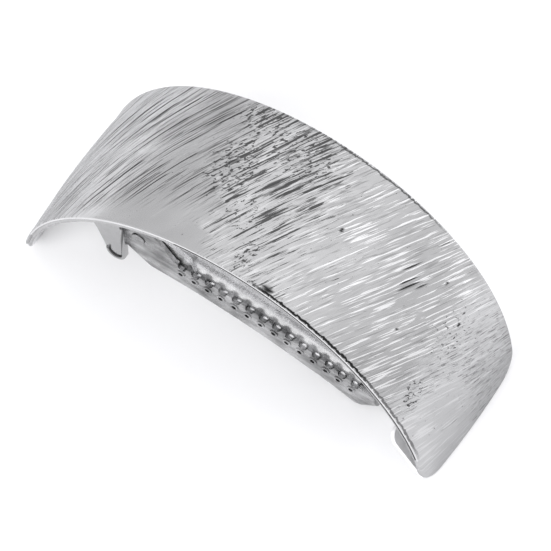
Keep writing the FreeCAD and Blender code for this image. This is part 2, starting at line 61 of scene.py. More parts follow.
def make_camera():
    """A long lens, so that the view is nearly parallel."""
    data = bpy.data.cameras.new("camera")
    data.sensor_width = SENSOR
    data.lens = SENSOR * CAMERA_DISTANCE / PICTURE_WIDTH
    data.clip_start = 0.1
    data.clip_end = 10.0
    camera = bpy.data.objects.new("camera", data)
    bpy.context.scene.collection.objects.link(camera)
    back = BACK.normalized()
    right = (RIGHT - back * RIGHT.dot(back)).normalized()
    up = back.cross(right)
    turn = Matrix((right, up, back)).transposed().to_4x4()
    camera.matrix_world = Matrix.Translation(LOOK_AT + back * CAMERA_DISTANCE) @ turn
    bpy.context.scene.camera = camera


make_camera()

# ---------------------------------------------------------------- nodes and materials


class Nodes:
    """A short way to write shader node trees: inputs go by name, or by number as i0, i1 and so on."""

    def __init__(self, tree):
        self.tree = tree
        tree.nodes.clear()

    def add(self, kind, settings=None, **inputs):
        node = self.tree.nodes.new(kind)
        for name, value in (settings or {}).items():
            setattr(node, name, value)
        for name, value in inputs.items():
            socket = node.inputs[int(name[1:])] if name[0] == "i" and name[1:].isdigit() else None
            if socket is None:
                socket = node.inputs[name.replace("_", " ")]
            self.feed(socket, value)
        return node

    def feed(self, socket, value):
        if isinstance(value, bpy.types.NodeSocket):
            self.tree.links.new(value, socket)
        else:
            socket.default_value = value

    def math(self, operation, a, b=0.0, clamp=False):
        settings = {"operation": operation, "use_clamp": clamp}
        return self.add("ShaderNodeMath", settings, i0=a, i1=b).outputs[0]

    def noise(self, vector, scale, detail=3.0, roughness=0.5):
        return self.add(
            "ShaderNodeTexNoise", Vector=vector, Scale=scale, Detail=detail, Roughness=roughness
        ).outputs[0]

    def scaled(self, vector, scale):
        return self.add("ShaderNodeVectorMath", {"operation": "MULTIPLY"}, i0=vector, i1=scale).outputs[0]

    def ramp(self, value, low, high, out_low, out_high):
        node = self.add("ShaderNodeMapRange", Value=value)
        limits = {"From Min": low, "From Max": high, "To Min": out_low, "To Max": out_high}
        for name, limit in limits.items():
            self.feed(node.inputs[name], limit)
        return node.outputs[0]

    def mix(self, factor, a, b):
        node = self.add("ShaderNodeMix", {"data_type": "RGBA"})
        self.feed(node.inputs[0], factor)
        self.feed(node.inputs[6], a)
        self.feed(node.inputs[7], b)
        return node.outputs[2]


# How much bluer than neutral every grey is.
COOL_TINT = 1.01


def grey(value):
    return (value, value, value * COOL_TINT, 1.0)


# Strength of the painted shade line in the gap behind the tab's lip.
GAP_SHADE_DARKNESS = 0.85


def gap_shade_mask(n, position, gap_shade):
    """A line of painted shade for the gap behind the tab's rolled lip, at a distance from the upright
    line that starts at the tab's tip.
    """
    x, z, distance, width = (value * MM for value in gap_shade)
    axes = n.add("ShaderNodeSeparateXYZ", Vector=position).outputs
    across = n.math("SUBTRACT", axes[0], x)
    below = n.math("MINIMUM", n.math("SUBTRACT", axes[2], z), 0.0)
    squares = n.math("ADD", n.math("MULTIPLY", across, across), n.math("MULTIPLY", below, below))
    away = n.math("ABSOLUTE", n.math("SUBTRACT", n.math("SQRT", squares), distance))
    line = n.ramp(away, width * 0.4, width, GAP_SHADE_DARKNESS, 0.0)
    front = n.math("MAXIMUM", across, n.math("SUBTRACT", z + distance, axes[2]))
    return n.math("MULTIPLY", line, n.ramp(front, -width, width, 0.0, 1.0))


# Noise scales of every plain metal, in repeats per metre.
BROAD_SCALE = 160.0
BLOTCH_SCALE = 700.0
SPOT_SCALE = 900.0
SCRATCH_HEIGHT = 0.05 * MM
# Shares of the metal's own tone, for a tarnish spot and for the painted shade in the gap behind the tab's
# lip, and the roughness that a tarnish spot adds.
SPOT_TONE = 0.35
GAP_SHADE_TONE = 0.12
SPOT_ROUGHNESS = 0.25


def metal(
    name, tone, rough, scratch_scale, scratch_depth,
    spots=0.0, stretch=(1.0, 1.0, 1.0), mottle=0.05, gap_shade=None, metallic=1.0,
):
    """Plated metal: tone and gloss that vary slightly, fine scratches, small tarnish spots and, where
    given, a line of painted shade in a gap.
    """
    material = bpy.data.materials.new(name)
    material.use_nodes = True
    n = Nodes(material.node_tree)
    position = n.add("ShaderNodeTexCoord").outputs["Object"]
    broad = n.noise(position, BROAD_SCALE, 2.0)
    fine = n.noise(n.scaled(position, stretch), scratch_scale, 4.0, 0.6)
    blotch = n.noise(n.scaled(position, stretch), BLOTCH_SCALE, 4.0, 0.6)
    cells = n.add("ShaderNodeTexVoronoi", Vector=position, Scale=SPOT_SCALE).outputs["Distance"]
    spot = n.ramp(cells, 0.05, 0.16, spots, 0.0)
    worn = n.ramp(n.math("MULTIPLY", n.math("ADD", broad, blotch), 0.5), 0.4, 0.6, 0.0, 1.0)
    colour = n.mix(worn, grey(tone * (1.0 - mottle)), grey(tone * (1.0 + mottle)))
    colour = n.mix(spot, colour, grey(tone * SPOT_TONE))
    # Painted shade: a dark line in the gap behind the tab's rolled lip.
    if gap_shade:
        colour = n.mix(gap_shade_mask(n, position, gap_shade), colour, grey(tone * GAP_SHADE_TONE))
    gloss = n.ramp(fine, 0.3, 0.7, rough * 0.75, rough * 1.3)
    gloss = n.math("ADD", gloss, n.math("MULTIPLY", spot, SPOT_ROUGHNESS))
    bump = n.add("ShaderNodeBump", Strength=scratch_depth, Distance=SCRATCH_HEIGHT, Height=fine)
    shader = n.add(
        "ShaderNodeBsdfPrincipled", Base_Color=colour, Metallic=metallic, Roughness=gloss,
        Normal=bump.outputs[0],
    )
    n.add("ShaderNodeOutputMaterial", Surface=shader.outputs[0])
    return material


# How much of its shine the plating keeps where it is seen edge-on.
GRAZING_TINT = 0.70
# How far a zone's end raises the noise level that its marks start at.
ZONE_REACH = 0.15
# Between these score lines, in millimetres, short dashes set in and the plating's colour darkens.
TAIL = (22.0, 38.0)
TAIL_DARKENING = 0.16
# Dark lines along the long edges: distance from the edge and half-width, in millimetres.
NEAR_LINE = (0.03, 0.25)
FAR_LINE = (0.12, 0.18)
EDGE_WANDER = (-0.12, 0.16)
DARKEST_TONE = 0.03
PLATING_ROUGHNESS = 0.20
GROOVE_ROUGHNESS = 0.30
MARK_HEIGHT = 0.08 * MM
MARK_RELIEF = 0.35

# Each kind of mark is cut from stretched noise. A Mark holds the repeats per millimetre across and
# along the score lines, the noise levels where the mark starts and is full, the detail and the offset.
Mark = namedtuple("Mark", "across along start full detail offset")
HAIR = Mark(2.6, 0.070, 0.603, 0.618, 1.0, 31.0)
SHORT_HAIR = Mark(4.1, 0.120, 0.592, 0.615, 1.0, 67.0)
FUZZ = Mark(6.5, 0.350, 0.550, 0.620, 2.0, 9.0)
JAGGED = Mark(1.9, 0.110, 0.540, 0.556, 6.0, 12.0)
THIN_JAGGED = Mark(3.4, 0.200, 0.550, 0.572, 4.0, 44.0)
DASHES = Mark(4.0, 0.450, 0.565, 0.590, 3.0, 21.0)
CRUMBS = Mark(2.0, 1.200, 0.545, 0.565, 3.0, 0.0)
# Burnished streaks; their colour is lightened towards white below, a painted highlight.
BRIGHT = Mark(2.6, 0.140, 0.555, 0.605, 2.0, 57.0)
SHADE = Mark(3.2, 0.180, 0.575, 0.630, 2.0, 83.0)
RAGGED_EDGE = Mark(1.3, 1.300, 0.350, 0.650, 4.0, 3.0)
MARK_GRAIN = 0.55
CRUMB_GRAIN = 0.60


def edge_line(n, distance, line):
    away = n.math("ABSOLUTE", n.math("SUBTRACT", distance, line[0]))
    return n.ramp(away, line[1] * 0.6, line[1], 1.0, 0.0)


def scored_metal(name, tone):
    """The cuff's plating: fine scoring, dark jagged grooves, and burnished streaks whose colour is
    lightened to white as a painted highlight, with the middle band lightened as a painted reflection, by
    zone.
    """
    material = bpy.data.materials.new(name)
    material.use_nodes = True
    n = Nodes(material.node_tree)

    def attribute(title, output):
        return n.add("ShaderNodeAttribute", {"attribute_name": title}).outputs[output]

    flow = attribute("flow", "Vector")
    split = n.add("ShaderNodeSeparateColor", Color=attribute("zones", "Color"))
    fine_zone, jagged_zone, bright_zone = split.outputs
    crumble_zone = attribute("zones", "Alpha")
    tail = n.ramp(n.add("ShaderNodeSeparateXYZ", Vector=flow).outputs[0], *TAIL, 0.0, 1.0)

    def both(a, b):
        return n.math("MULTIPLY", a, b, clamp=True)

    def noise_of(mark, grain=MARK_GRAIN):
        stretched = n.scaled(flow, (mark.across, mark.along, 0.0))
        moved = n.add("ShaderNodeVectorMath", {"operation": "ADD"}, i0=stretched, i1=(mark.offset,) * 3)
        return n.noise(moved.outputs[0], 1.0, mark.detail, grain)

    def faded(mark, zone):
        """Marks that fade out where their zone ends."""
        return both(n.ramp(noise_of(mark), mark.start, mark.full, 0.0, 1.0), zone)

    def thinned(mark, zone, grain=MARK_GRAIN):
        """Hard-edged marks that thin out, and do not fade, where their zone ends."""
        lowered = n.math("MULTIPLY", n.math("SUBTRACT", 1.0, zone), ZONE_REACH)
        return n.ramp(n.math("SUBTRACT", noise_of(mark, grain), lowered), mark.start, mark.full, 0.0, 1.0)

    dash_zone = both(tail, n.ramp(fine_zone, 0.0, 0.2, 0.0, 1.0))
    dark = attribute("wear", "Fac")
    for strength, marks in (
        (0.90, faded(HAIR, fine_zone)),
        (0.65, faded(SHORT_HAIR, fine_zone)),
        (0.22, faded(FUZZ, fine_zone)),
        (0.86, thinned(JAGGED, jagged_zone)),
        (0.70, thinned(THIN_JAGGED, jagged_zone)),
        (0.50, thinned(DASHES, dash_zone)),
        (0.85, thinned(CRUMBS, crumble_zone, CRUMB_GRAIN)),
    ):
        dark = n.math("MAXIMUM", dark, n.math("MULTIPLY", marks, strength))
    near, far, weight = n.add("ShaderNodeSeparateXYZ", Vector=attribute("edges", "Vector")).outputs
    ragged = n.ramp(noise_of(RAGGED_EDGE), RAGGED_EDGE.start, RAGGED_EDGE.full, *EDGE_WANDER)
    near_line = edge_line(n, n.math("SUBTRACT", near, ragged), NEAR_LINE)
    far_line = edge_line(n, n.math("SUBTRACT", far, ragged), FAR_LINE)
    dark = n.math("MAXIMUM", dark, n.math("MULTIPLY", n.math("MAXIMUM", near_line, far_line), weight))

    bright = faded(BRIGHT, bright_zone)
    shade = faded(SHADE, bright_zone)
    broad = n.noise(n.scaled(flow, (0.10, 0.10, 0.0)), 1.0, 2.0)
    base = n.mix(n.ramp(broad, 0.35, 0.65, 0.0, 1.0), grey(tone * 0.93), grey(tone * 1.06))
    # Painted reflection: the colour of the middle band, where the jagged grooves run, is lightened.
    base = n.mix(n.math("MULTIPLY", jagged_zone, 0.5), base, grey(tone * 1.45))
    # Painted highlight: the burnished streaks' colour goes most of the way to white.
    base = n.mix(n.math("MULTIPLY", bright, 0.92), base, grey(1.0))
    base = n.mix(n.math("MULTIPLY", shade, 0.55), base, grey(tone * 0.5))
    base = n.mix(n.math("MULTIPLY", tail, TAIL_DARKENING), base, grey(0.0))
    colour = n.mix(dark, base, grey(DARKEST_TONE))
    height = n.math("SUBTRACT", bright, dark)
    bump = n.add("ShaderNodeBump", Strength=MARK_RELIEF, Distance=MARK_HEIGHT, Height=height)
    gloss = n.math("ADD", PLATING_ROUGHNESS, n.math("MULTIPLY", dark, GROOVE_ROUGHNESS))
    shader = n.add(
        "ShaderNodeBsdfPrincipled", Base_Color=colour, Metallic=1.0, Roughness=gloss,
        Specular_Tint=grey(GRAZING_TINT), Normal=bump.outputs[0],
    )
    n.add("ShaderNodeOutputMaterial", Surface=shader.outputs[0])
    return material


# Tone, roughness, scratches per metre and how strongly they show.
CUFF_METAL = scored_metal("cuff_plating", 0.54)
RIM_METAL = metal("polished_rim", 0.64, 0.14, 3000.0, 0.05)
CREASE_METAL = metal("rim_crease", 0.06, 0.35, 3000.0, 0.05)
EDGE_METAL = metal("sheet_edge", 0.42, 0.28, 3000.0, 0.05)
LINING_METAL = metal("cuff_inside", 0.70, 0.32, 1500.0, 0.2)
ANCHOR_METAL = metal("anchor_plating", 0.82, 0.40, 2600.0, 0.15, spots=0.3, metallic=0.45)
CLIP_METAL = metal("clip_plating", 0.62, 0.24, 1800.0, 0.12, spots=0.2, mottle=0.12)
UPPER_METAL = metal("upper_jaw_plating", 0.80, 0.26, 1800.0, 0.12, spots=0.2, mottle=0.12, metallic=0.9)
# Painted shade in the gap behind the tab's rolled lip, drawn as a dark line: the tip's X and Z, the
# distance and the half-width.
TAB_GAP_SHADE = (-23.2, 6.45, 1.10, 0.22)
TAB_METAL = metal("tab_plating", 0.46, 0.20, 1800.0, 0.12, spots=0.2, gap_shade=TAB_GAP_SHADE)
TOOTH_METAL = metal(
    "toothed_jaw_plating", 0.38, 0.28, 1100.0, 0.30, spots=0.35, stretch=(0.30, 1.0, 1.0), mottle=0.45
)
PIN_METAL = metal("pin_steel", 0.34, 0.28, 1500.0, 0.2)
WIRE_METAL = metal("spring_steel", 0.42, 0.25, 2500.0, 0.2, stretch=(0.3, 1.0, 0.3))
SOLDER_METAL = metal("solder_grey", 0.50, 0.40, 900.0, 0.6)

# ---------------------------------------------------------------- cuff
# The sheet is a band turned about the Y axis, crowned across its width; all in millimetres.
RADIUS = 37.5
END_ANGLE = math.radians(87.0)
CENTRE_Z = -RADIUS * math.cos(END_ANGLE)
THICKNESS = 1.1
CROWN_RADIUS = 150.0
CORNER_RADIUS = 4.5
# Height and half-width at three points of the long edge.
SIDE_POINTS = ((4.5, 13.03), (17.77, 13.70), (36.54, 14.125))
ROUNDING = 0.30
# The crease in the rim: depths of its four corners under the outer face, and how far it goes in.
CREASE_DEPTHS = (0.31, 0.35, 0.58, 0.62)
CREASE_INSET = 0.16
# The crease is dark from the first place on. Past the second, at both ends, the rim has the face's metal.
CREASE_START = -10.0
POLISHED_RIM_END = 49.0
COLUMNS = 940
CORNER_COLUMNS = 36
ROWS = 72
INSIDE_COLUMNS = 120
INSIDE_CORNER_COLUMNS = 10
INSIDE_ROWS = 20
INSIDE_INSET = ROUNDING + 0.4
# The grid's columns lean with the scoring, and less and less between these places.
LEAN_FADE = (22.0, 50.0)
# Distances from the rim within which the grooves and the slow waves die out.
GROOVE_FADE = 0.5
WAVE_FADE = 2.0


def side_circle():
    """Centre and radius of the arc that the cuff's long edge follows, seen along X."""
    (x1, y1), (x2, y2), (x3, y3) = SIDE_POINTS
    a = np.array([[x2 - x1, y2 - y1], [x3 - x1, y3 - y1]]) * 2
    b = np.array([x2 * x2 + y2 * y2 - x1 * x1 - y1 * y1, x3 * x3 + y3 * y3 - x1 * x1 - y1 * y1])
    centre = np.linalg.solve(a, b)
    return centre, math.hypot(x1 - centre[0], y1 - centre[1])


SIDE_CENTRE, SIDE_RADIUS = side_circle()


def height_at(theta):
    return CENTRE_Z + RADIUS * np.cos(theta)


def half_width(z, inset):
    """Half the cuff's width at a height, drawn in from its edge by an inset."""
    side = SIDE_CENTRE[1] + np.sqrt(SIDE_RADIUS ** 2 - (z - SIDE_CENTRE[0]) ** 2) - inset
    corner_y = SIDE_POINTS[0][1] - CORNER_RADIUS
    reach = CORNER_RADIUS - inset
    drop = np.clip((CORNER_RADIUS - z) / reach, 0.0, 1.0)
    corner = corner_y + reach * np.sqrt(1.0 - drop ** 2)
    return np.where(z < CORNER_RADIUS, corner, side)


def place(theta, y, depth, inset):
    """Points at a depth under the outer face; the ends stay level whatever the depth."""
    radius = RADIUS - CROWN_RADIUS + np.sqrt(CROWN_RADIUS ** 2 - y ** 2) - depth
    end = (inset - CENTRE_Z) / radius
    nominal = (inset - CENTRE_Z) / RADIUS
    theta = theta * np.arccos(end) / math.acos(nominal)
    return np.stack([radius * np.sin(theta), y, CENTRE_Z + radius * np.cos(theta)], -1)


def column_angles(count, corner_count, inset):
    """Angles of the grid's columns, close together where the corners turn."""
    limit = math.acos((CORNER_RADIUS - CENTRE_Z) / RADIUS)
    middle = np.linspace(-limit, limit, count - 2 * corner_count)
    turn = np.linspace(0.0, math.pi / 2, corner_count + 1)[1:]
    z = CORNER_RADIUS - (CORNER_RADIUS - inset) * np.sin(turn)
    corner = np.arccos((z - CENTRE_Z) / RADIUS)
    return np.concatenate([-corner[::-1], middle, corner])


# ---- relief of the outer face, a height map over the developed sheet (s along the arch, y across)
MAP_STEP_S = 0.05
MAP_STEP_Y = 0.10
S_HALF = 58.0
Y_HALF = 15.0
relief = np.zeros((int(2 * S_HALF / MAP_STEP_S) + 1, int(2 * Y_HALF / MAP_STEP_Y) + 1), np.float32)
S_END = RADIUS * END_ANGLE
# The scoring turns along the arch: share of the way to the end, and degrees from across the cuff.
STROKE_SHARES = (-1.0, -0.8, -0.6, -0.4, -0.2, 0.0, 0.8, 1.0)
STROKE_DEGREES = (40, 38, 35, 33, 29, 28, 29, 12)


def stroke_angle(s):
    """Direction of the scoring, in degrees from across the cuff towards the front."""
    return np.interp(s / S_END, STROKE_SHARES, STROKE_DEGREES)


def carve(s, y, length, width, depth, wander, lean=0.0, turn=0.0):
    """Press one groove with tapered ends and a slightly wavy line into the relief."""
    angle = math.radians(float(stroke_angle(s)) + turn)
    along = np.array([math.sin(angle), math.cos(angle)])
    reach = length / 2 + 3 * width
    span_s = abs(along[0]) * reach + 4 * width + wander
    span_y = abs(along[1]) * reach + 4 * width + wander
    i0, i1 = (int(max(0, (s + d * span_s + S_HALF) / MAP_STEP_S)) for d in (-1, 1))
    j0, j1 = (int(max(0, (y + d * span_y + Y_HALF) / MAP_STEP_Y)) for d in (-1, 1))
    window = relief[i0:i1 + 1, j0:j1 + 1]
    if window.size == 0:
        return
    ss = (np.arange(window.shape[0]) + i0)[:, None] * MAP_STEP_S - S_HALF - s
    yy = (np.arange(window.shape[1]) + j0)[None, :] * MAP_STEP_Y - Y_HALF - y
    a = ss * along[0] + yy * along[1]
    b = ss * along[1] - yy * along[0]
    phase = rng.uniform(0, 2 * math.pi, 2)
    b = b - wander * (np.sin(a * 0.9 + phase[0]) * 0.6 + np.sin(a * 2.3 + phase[1]) * 0.4)
    taper = np.clip(1.0 - (np.abs(a) / (length / 2)) ** 3, 0.0, 1.0)
    local = width * (1.0 + lean * np.tanh(b / width))
    np.minimum(window, -depth * taper * np.exp(-(b / local) ** 2), out=window)


# Polished areas: a stretch of the near left, the length of the front end, and the long margins.
POLISHED_STRETCH = (-44, -4)
POLISHED_END = 5.5
POLISHED_MARGIN = 13.2


def smooth_area(s, y):
    """How free of scoring the sheet is: 1 in the polished areas, 0 where it is fully scored."""
    near_left = 1.0 / (1.0 + np.exp(((y + 8.5) - 0.10 * (s + 26)) / 1.2))
    near_left = near_left * (s > POLISHED_STRETCH[0]) * (s < POLISHED_STRETCH[1])
    front_end = 1.0 / (1.0 + np.exp((S_END - POLISHED_END - s) / 1.5)) * (y < 4)
    margin = (np.abs(y) > POLISHED_MARGIN).astype(float)
    return np.clip(near_left + front_end + margin, 0.0, 1.0)


def scatter(count, s_range, y_range, lengths, widths, depths, wander, turn):
    """Carve grooves at random places, and fewer of them where the sheet is polished."""
    for _ in range(count):
        s = rng.uniform(*s_range)
        y = rng.uniform(*y_range)
        if rng.uniform() < smooth_area(s, y):
            continue
        length = rng.uniform(*lengths)
        width = rng.uniform(*widths)
        depth = rng.uniform(*depths)
        carve(s, y, length, width, depth, wander, rng.uniform(-0.5, 0.5), rng.normal(0, turn))


# Grooves by area: how many are tried, the ranges of s, y, length, width and depth, how far they
# wander, and the spread of their direction in degrees.
GROOVES = [
    (420, (-56, -8), (-13, 14), (4, 16), (0.06, 0.11), (0.012, 0.035), 0.12, 3.0),
    (300, (-16, 16), (-14, 14), (2, 10), (0.10, 0.26), (0.03, 0.11), 0.25, 6.0),
    (420, (8, 57), (-14, 14), (3, 15), (0.08, 0.18), (0.012, 0.035), 0.15, 4.0),
    (200, (25, 57), (-14, 14), (1, 6), (0.06, 0.12), (0.02, 0.05), 0.10, 5.0),
]
for grooves in GROOVES:
    scatter(*grooves)


def streamline(s, y):
    """Where the score line through a point crosses the cuff's middle."""
    start = s.copy()
    for _ in range(8):
        start = s - y * np.tan(np.radians(stroke_angle(start)))
    return start


def soft_step(value, low, high):
    share = np.clip((value - low) / (high - low), 0.0, 1.0)
    return share * share * (3.0 - 2.0 * share)


# An oval patch fades between these shares of its reach.
PATCH_FADE = (0.55, 1.05)


def patch(s, y, centre, reach):
    """A soft-edged oval: 1 at its centre, 0 just past its reach."""
    away = ((s - centre[0]) / reach[0]) ** 2 + ((y - centre[1]) / reach[1]) ** 2
    return 1.0 - soft_step(np.sqrt(away), *PATCH_FADE)


# Where along the arch the zones begin and end.
MIDDLE_BAND = (-8.0, 7.0)
REAR_SCORING = (-54.0, -36.0)
POLISH_START = (-40.0, -26.0)
TAIL_START = (30.0, 42.0)
APRON_START = (40.0, 45.0)
# Crumbling patches: strength, centre and reach.
CRUMBLING = [
    (1.0, (-9.0, 2.0), (5.0, 7.5)),
    (1.0, (-10.0, 11.5), (5.5, 3.5)),
    (1.0, (1.5, -10.5), (2.0, 4.0)),
    (0.9, (37.5, -8.5), (2.6, 3.0)),
    (0.65, (36.0, 3.0), (4.0, 6.0)),
    (0.9, (-1.0, 9.0), (7.0, 5.5)),
    (0.9, (6.0, -13.4), (3.0, 1.2)),
    (0.7, (-2.5, -4.5), (4.0, 4.5)),
]


def zones_at(s, y):
    """Shares of fine scoring, jagged grooves, bright streaks and crumbling at points of the sheet."""
    wave = 1.5 * np.sin(y * 0.9) + 0.9 * np.sin(y * 2.3 + 1.0)
    rear_edge = MIDDLE_BAND[0] + wave - 0.22 * y
    front_edge = MIDDLE_BAND[1] + wave - 0.15 * y
    rear = 1.0 - soft_step(s, rear_edge - 2.0, rear_edge + 1.0)
    front = soft_step(s, front_edge - 3.0, front_edge + 5.0)
    middle = (1.0 - rear) * (1.0 - front)
    polished = 1.0 - soft_step(y - 0.28 * (s + 6.0), -7.5, -2.5)
    polished = polished * soft_step(s, *POLISH_START) * rear
    tail = soft_step(s, *TAIL_START)
    apron = soft_step(s - 0.25 * y, *APRON_START) * (1.0 - soft_step(y, -4.0, 4.0))
    fine = rear * (1.0 - polished) * (0.35 + 0.65 * soft_step(s, *REAR_SCORING))
    fine = fine + 0.25 * tail * (1.0 - apron)
    jagged = middle * (0.70 + 0.30 * soft_step(y, -9.0, 2.0))
    bright = front * (1.0 - 0.75 * tail) + 0.45 * middle
    crumble = sum(strength * patch(s, y, centre, reach) for strength, centre, reach in CRUMBLING)
    return np.clip(np.stack([fine, jagged, bright, crumble], -1), 0.0, 1.0)


def pits_at(s, y):
    """How dark the pits and nicks are at points of the sheet."""
    dark = np.zeros_like(s)
    for centre, reach in PITS:
        dark = np.maximum(dark, patch(s, y, centre, reach))
    start = streamline(s, y)
    for (nick_s, nick_y), length, width in NICKS:
        nick_start = streamline(np.array([nick_s]), np.array([nick_y]))[0]
        dark = np.maximum(dark, patch(start, y, (nick_start, nick_y), (width, length / 2)))
    return dark


def edges_at(s, y, half):
    """Distances from the near and far edges, and how strong the dark line along the nearer edge is."""
    near_share = soft_step(s, 3.5, 7.0) * (1.0 - 0.35 * soft_step(s, 26.0, 32.0))
    near_share = near_share * (1.0 - soft_step(s, 44.0, 50.0))
    far_share = 0.75 * soft_step(s, 0.0, 4.0) * (1.0 - soft_step(s, 20.0, 26.0))
    return np.stack([half + y, half - y, np.where(y < 0, near_share, far_share)], -1)


# Pits in front of the middle, and a blotch at the near edge: centre and reach.
PITS = [
    ((11.0, 1.9), (0.35, 0.55)),
    ((30.0, 7.8), (0.30, 0.45)),
    ((36.4, 5.0), (0.35, 0.50)),
    ((27.5, -4.0), (0.30, 0.40)),
    ((7.2, -13.1), (1.3, 0.55)),
]
# Nicks: middle, length along the scoring and half-width.
NICKS = [
    ((24.9, 2.5), 5.0, 0.24),
    ((24.3, 3.1), 4.2, 0.18),
    ((23.4, 5.3), 4.4, 0.15),
    ((26.6, 4.0), 2.8, 0.15),
]
NICK_DEPTH = 0.16
NICK_WANDER = 0.1
for (nick_s, nick_y), nick_length, nick_width in NICKS:
    carve(nick_s, nick_y, nick_length, nick_width, NICK_DEPTH, NICK_WANDER)


# Three trains of waves of each length and height.
WAVES = ((19.0, 0.030), (11.0, 0.018), (6.0, 0.008))


def undulation(s, y):
    """A slow unevenness left by polishing by hand."""
    waves = np.zeros_like(s)
    for length, height in WAVES:
        for _ in range(3):
            angle = rng.uniform(0, math.pi)
            phase = rng.uniform(0, 2 * math.pi)
            forward = (s * math.cos(angle) + y * math.sin(angle)) * 2 * math.pi / length
            waves += height * np.sin(forward + phase)
    return waves


def relief_at(s, y):
    """The relief's height at points of the developed sheet, read between its cells."""
    i = np.clip((s + S_HALF) / MAP_STEP_S, 0, relief.shape[0] - 1.001)
    j = np.clip((y + Y_HALF) / MAP_STEP_Y, 0, relief.shape[1] - 1.001)
    i0 = i.astype(int)
    j0 = j.astype(int)
    di = i - i0
    dj = j - j0
    return (
        relief[i0, j0] * (1 - di) * (1 - dj) + relief[i0 + 1, j0] * di * (1 - dj)
        + relief[i0, j0 + 1] * (1 - di) * dj + relief[i0 + 1, j0 + 1] * di * dj
    )


def grid_faces(columns, rows, first, flip=False):
    """Faces of a grid whose points start at an index."""
    i, j = np.meshgrid(np.arange(columns - 1), np.arange(rows - 1), indexing="ij")
    a = first + i * rows + j
    quads = np.stack([a, a + rows, a + rows + 1, a + 1], -1).reshape(-1, 4)
    return quads[:, ::-1] if flip else quads


def perimeter(columns, rows):
    """Indices of a grid's border, once round."""
    near = [i * rows for i in range(columns)]
    front = [(columns - 1) * rows + j for j in range(1, rows)]
    far = [i * rows + rows - 1 for i in range(columns - 2, -1, -1)]
    rear = list(range(rows - 2, 0, -1))
    return np.array(near + front + far + rear)


def zip_loops(outer, inner, outer_share, inner_share):
    """Triangles between two closed loops with different numbers of points."""
    faces = []
    i = j = 0
    while i < len(outer) or j < len(inner):
        next_outer = outer_share[i + 1] if i + 1 < len(outer) else 1.0 + (i >= len(outer))
        next_inner = inner_share[j + 1] if j + 1 < len(inner) else 1.0 + (j >= len(inner))
        a = outer[i % len(outer)]
        b = inner[j % len(inner)]
        if next_outer <= next_inner:
            faces.append((a, b, outer[(i + 1) % len(outer)]))
            i += 1
        else:
            faces.append((a, b, inner[(j + 1) % len(inner)]))
            j += 1
    return faces


def add_attributes(mesh, s, y, half, border, ring_insets):
    """Give the mesh what the plating reads: score-line coordinates, zones, pits and edge distances."""
    count = len(mesh.vertices)
    face_count = s.size
    ring_count = len(ring_insets)
    ring_end = face_count + ring_count * len(border)
    flow = np.zeros((count, 3), np.float32)
    flow[:face_count, 0] = streamline(s, y).ravel()
    flow[:face_count, 1] = y.ravel()
    flow[face_count:ring_end] = np.tile(flow[border], (ring_count, 1))
    zones = np.zeros((count, 4), np.float32)
    zones[:face_count] = zones_at(s, y).reshape(-1, 4)
    zones[face_count:ring_end] = np.tile(zones[border], (ring_count, 1))
    wear = np.zeros(count, np.float32)
    wear[:face_count] = pits_at(s, y).ravel()
    edges = np.tile(np.float32([-1.0, -1.0, 0.0]), (count, 1))
    edges[:face_count] = edges_at(s, y, half).reshape(-1, 3)
    for k, inset in enumerate(ring_insets):
        outward = np.float32([ROUNDING - inset, ROUNDING - inset, 0.0])
        first = face_count + k * len(border)
        edges[first:first + len(border)] = edges[border] - outward
    mesh.attributes.new("flow", "FLOAT_VECTOR", "POINT").data.foreach_set("vector", flow.ravel())
    mesh.attributes.new("zones", "FLOAT_COLOR", "POINT").data.foreach_set("color", zones.ravel())
    mesh.attributes.new("wear", "FLOAT", "POINT").data.foreach_set("value", wear)
    mesh.attributes.new("edges", "FLOAT_VECTOR", "POINT").data.foreach_set("vector", edges.ravel())


def rim_profile():
    """The rim from the outer face to the inside one: inset from the edge, depth under the face."""
    turns = np.linspace(0, math.pi / 2, 5)[1:]
    outer = [(ROUNDING * (1 - math.sin(turn)), ROUNDING * (1 - math.cos(turn))) for turn in turns]
    crease = list(zip((0.0, CREASE_INSET, CREASE_INSET, 0.0), CREASE_DEPTHS))
    inner = [(inset, THICKNESS - depth) for inset, depth in reversed(outer)]
    return outer + crease + inner + [(ROUNDING, THICKNESS)]


def inside_points():
    """The plain inside face, as a grid of points."""
    theta = column_angles(INSIDE_COLUMNS, INSIDE_CORNER_COLUMNS, INSIDE_INSET)
    t = np.linspace(-1.0, 1.0, INSIDE_ROWS)
    y = half_width(height_at(theta), INSIDE_INSET)[:, None] * t[None, :]
    theta = np.repeat(theta[:, None], INSIDE_ROWS, 1)
    return place(theta, y, np.full_like(y, THICKNESS), INSIDE_INSET).reshape(-1, 3)


def loop_shares(points):
    """How far round a closed loop each of its points is, from 0 to 1."""
    steps = np.linalg.norm(np.diff(points, axis=0, append=points[:1]), axis=1)
    return np.concatenate([[0.0], np.cumsum(steps)[:-1]]) / steps.sum()


# The cuff's metals by index, and the depths under the face where the rim goes from one to the next.
CUFF_METALS = (CUFF_METAL, RIM_METAL, CREASE_METAL, EDGE_METAL, LINING_METAL)
FACE, RIM, CREASE, EDGE, LINING = range(5)
RIM_STEPS = (ROUNDING * (1 - math.sqrt(0.5)) + 0.001, CREASE_DEPTHS[0], CREASE_DEPTHS[3])


